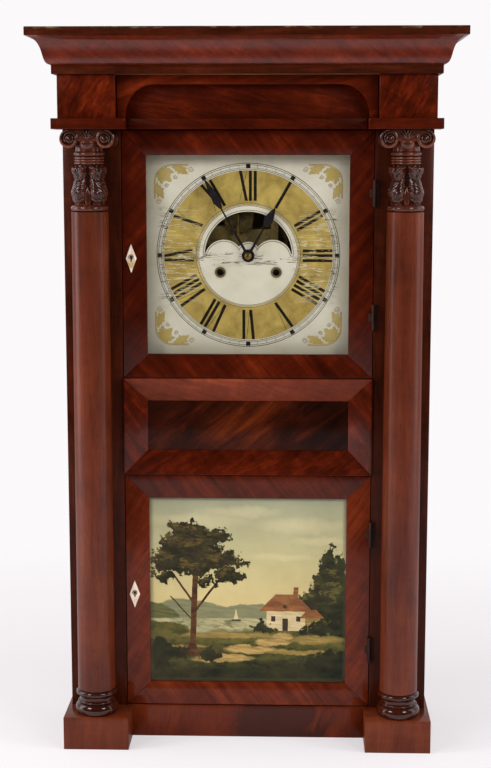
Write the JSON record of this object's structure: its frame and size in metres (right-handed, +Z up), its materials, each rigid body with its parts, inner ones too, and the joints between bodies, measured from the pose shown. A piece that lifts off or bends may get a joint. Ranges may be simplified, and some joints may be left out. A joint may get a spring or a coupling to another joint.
{
  "type": "shelf clock",
  "caption": "Tall column-and-cornice shelf clock with a glazed dial door, a panelled middle, a painted lower door and a weight-driven striking movement inside.",
  "frame": {"origin": "middle of the base, on the surface the clock stands on", "axes": "+Z up, -Y out of the dial towards the viewer, +X to the viewer's right"},
  "size_m": [0.4804, 0.1672, 0.826],
  "materials": {
    "mahogany": "french polished mahogany veneer",
    "figured_mahogany": "french polished figured mahogany veneer",
    "carved_mahogany": "carved and polished mahogany",
    "pine": "bare softwood",
    "brass": "aged rolled brass",
    "dark_brass": "tarnished brass",
    "steel": "filed steel",
    "blued_steel": "blued steel",
    "cast_iron": "cast iron",
    "bone": "turned bone",
    "clear_glass": "clear sheet glass",
    "painted_glass": "glass painted on its back",
    "dial_paint": "painted wooden board",
    "cord": "twisted cotton cord"
  },
  "bodies": {
    "case": {"backboard": "pine", "left_side": "mahogany", "right_side": "mahogany", "bottom_board": "pine", "top_board": "pine", "left_stile": "mahogany", "right_stile": "mahogany", "base_rail": "figured_mahogany", "left_plinth": "mahogany", "right_plinth": "mahogany", "left_column": "figured_mahogany", "right_column": "figured_mahogany", "left_capital": "carved_mahogany", "right_capital": "carved_mahogany", "left_ledge": "mahogany", "right_ledge": "mahogany", "left_frieze_block": "figured_mahogany", "right_frieze_block": "figured_mahogany", "frieze_arch": "mahogany", "frieze_rail": "figured_mahogany", "cornice": "mahogany", "middle_frame": "figured_mahogany", "middle_panel": "figured_mahogany", "dial": "dial_paint", "movement_front_plate": "brass", "movement_back_plate": "brass", "bell": "cast_iron", "upper_door_hinge_top": "dark_brass", "upper_door_hinge_bottom": "dark_brass", "lower_door_hinge_top": "dark_brass", "lower_door_hinge_bottom": "dark_brass", "time_cord_run": "cord", "strike_cord_run": "cord", "time_weight_cord": "cord", "strike_weight_cord": "cord"},
    "upper_door": {"upper_door_frame": "figured_mahogany", "upper_door_glass": "clear_glass", "upper_escutcheon": "bone"},
    "lower_door": {"lower_door_frame": "figured_mahogany", "lower_door_tablet": "painted_glass", "lower_escutcheon": "bone"},
    "minute_hand_body": {"minute_hand": "blued_steel"},
    "hour_hand_body": {"hour_hand": "blued_steel"},
    "minute_wheel_body": {"minute_wheel": "brass"},
    "centre_wheel_body": {"centre_wheel": "brass"},
    "second_wheel_body": {"second_wheel": "brass"},
    "third_wheel_body": {"third_wheel": "brass"},
    "time_great_wheel_body": {"time_great_wheel": "brass"},
    "escape_wheel_body": {"escape_wheel": "brass"},
    "pendulum_body": {"pendulum": "brass"},
    "verge_body": {"verge": "steel"},
    "time_weight_body": {"time_weight": "cast_iron"},
    "strike_weight_body": {"strike_weight": "cast_iron"},
    "time_drum_body": {"time_drum": "brass"},
    "strike_drum_body": {"strike_drum": "brass"},
    "time_pulley_body": {"time_pulley": "brass"},
    "strike_pulley_body": {"strike_pulley": "brass"},
    "strike_great_wheel_body": {"strike_great_wheel": "brass"},
    "pin_wheel_body": {"pin_wheel": "brass"},
    "strike_hammer_body": {"strike_hammer": "steel"}
  },
  "joints": [
    {"name": "upper_door_hinge", "type": "hinge", "parent": "case", "child": "upper_door", "pos_m": [0.1436, -0.0198, 0.57505], "axis": [0, 0, 1], "range_deg": [0, 95]},
    {"name": "lower_door_hinge", "type": "hinge", "parent": "case", "child": "lower_door", "pos_m": [0.1436, -0.0198, 0.17975], "axis": [0, 0, 1], "range_deg": [0, 110]},
    {"name": "minute_hand_turn", "type": "hinge", "parent": "case", "child": "minute_hand_body", "pos_m": [0, -0.0044, 0.5738], "axis": [0, 1, 0], "continuous": true},
    {"name": "hour_hand_turn", "type": "hinge", "parent": "case", "child": "hour_hand_body", "pos_m": [0, -0.0004, 0.5738], "axis": [0, 1, 0], "continuous": true},
    {"name": "minute_wheel_turn", "type": "hinge", "parent": "case", "child": "minute_wheel_body", "pos_m": [0, 0.0216, 0.557], "axis": [0, 1, 0], "continuous": true},
    {"name": "escape_wheel_turn", "type": "hinge", "parent": "case", "child": "escape_wheel_body", "pos_m": [-0.012, 0.0216, 0.61729], "axis": [0, 1, 0], "continuous": true},
    {"name": "third_wheel_turn", "type": "hinge", "parent": "case", "child": "third_wheel_body", "pos_m": [-0.01397, 0.0306, 0.59659], "axis": [0, 1, 0], "continuous": true},
    {"name": "centre_wheel_turn", "type": "hinge", "parent": "case", "child": "centre_wheel_body", "pos_m": [0, 0.0366, 0.5738], "axis": [0, 1, 0], "continuous": true},
    {"name": "second_wheel_turn", "type": "hinge", "parent": "case", "child": "second_wheel_body", "pos_m": [0.02325, 0.0336, 0.58673], "axis": [0, 1, 0], "continuous": true},
    {"name": "time_great_wheel_turn", "type": "hinge", "parent": "case", "child": "time_great_wheel_body", "pos_m": [0.0324, 0.0546, 0.5544], "axis": [0, 1, 0], "continuous": true},
    {"name": "pendulum_swing", "type": "hinge", "parent": "case", "child": "pendulum_body", "pos_m": [-0.012, 0.0141, 0.64416], "axis": [0, 1, 0], "range_deg": [-3, 3]},
    {"name": "verge_rock", "type": "hinge", "parent": "case", "child": "verge_body", "pos_m": [-0.012, 0.0206, 0.64416], "axis": [0, 1, 0], "range_deg": [-3, 3]},
    {"name": "time_weight_lift", "type": "slide", "parent": "case", "child": "time_weight_body", "axis": [0, 0, 1], "range_m": [0, 0.4], "deforming": ["time_weight_cord"]},
    {"name": "time_drum_turn", "type": "hinge", "parent": "case", "child": "time_drum_body", "pos_m": [0.0324, 0.0466, 0.5544], "axis": [0, 1, 0], "range_deg": [-1720, 0]},
    {"name": "time_pulley_turn", "type": "hinge", "parent": "case", "child": "time_pulley_body", "pos_m": [0.16105, 0.0446, 0.798], "axis": [0, 1, 0], "range_deg": [-2095, 0]},
    {"name": "strike_weight_lift", "type": "slide", "parent": "case", "child": "strike_weight_body", "axis": [0, 0, 1], "range_m": [0, 0.4], "deforming": ["strike_weight_cord"]},
    {"name": "strike_drum_turn", "type": "hinge", "parent": "case", "child": "strike_drum_body", "pos_m": [-0.0324, 0.0466, 0.5544], "axis": [0, 1, 0], "range_deg": [0, 1720]},
    {"name": "strike_pulley_turn", "type": "hinge", "parent": "case", "child": "strike_pulley_body", "pos_m": [-0.16105, 0.0446, 0.798], "axis": [0, 1, 0], "range_deg": [0, 2095]},
    {"name": "pin_wheel_turn", "type": "hinge", "parent": "case", "child": "pin_wheel_body", "pos_m": [-0.04797, 0.0336, 0.58418], "axis": [0, 1, 0], "continuous": true},
    {"name": "strike_great_wheel_turn", "type": "hinge", "parent": "case", "child": "strike_great_wheel_body", "pos_m": [-0.0324, 0.0546, 0.5544], "axis": [0, 1, 0], "continuous": true},
    {"name": "hammer_lift", "type": "hinge", "parent": "case", "child": "strike_hammer_body", "pos_m": [-0.06, 0.0446, 0.5365], "axis": [0, 1, 0], "range_deg": [0, 12]}
  ],
  "couplings": [
    {"joint": "hour_hand_turn", "follows": "minute_hand_turn", "ratio": 0.083333},
    {"joint": "minute_wheel_turn", "follows": "minute_hand_turn", "ratio": -0.33333},
    {"joint": "third_wheel_turn", "follows": "escape_wheel_turn", "ratio": -0.10526},
    {"joint": "centre_wheel_turn", "follows": "escape_wheel_turn", "ratio": 0.013158},
    {"joint": "second_wheel_turn", "follows": "escape_wheel_turn", "ratio": -0.002193},
    {"joint": "time_great_wheel_turn", "follows": "escape_wheel_turn", "ratio": 0.00031328},
    {"joint": "verge_rock", "follows": "pendulum_swing", "ratio": 1},
    {"joint": "time_drum_turn", "follows": "time_weight_lift", "rad_per_m": -74.906},
    {"joint": "time_pulley_turn", "follows": "time_weight_lift", "rad_per_m": -91.324},
    {"joint": "strike_drum_turn", "follows": "strike_weight_lift", "rad_per_m": 74.906},
    {"joint": "strike_pulley_turn", "follows": "strike_weight_lift", "rad_per_m": 91.324},
    {"joint": "strike_great_wheel_turn", "follows": "pin_wheel_turn", "ratio": -0.14286}
  ]
}
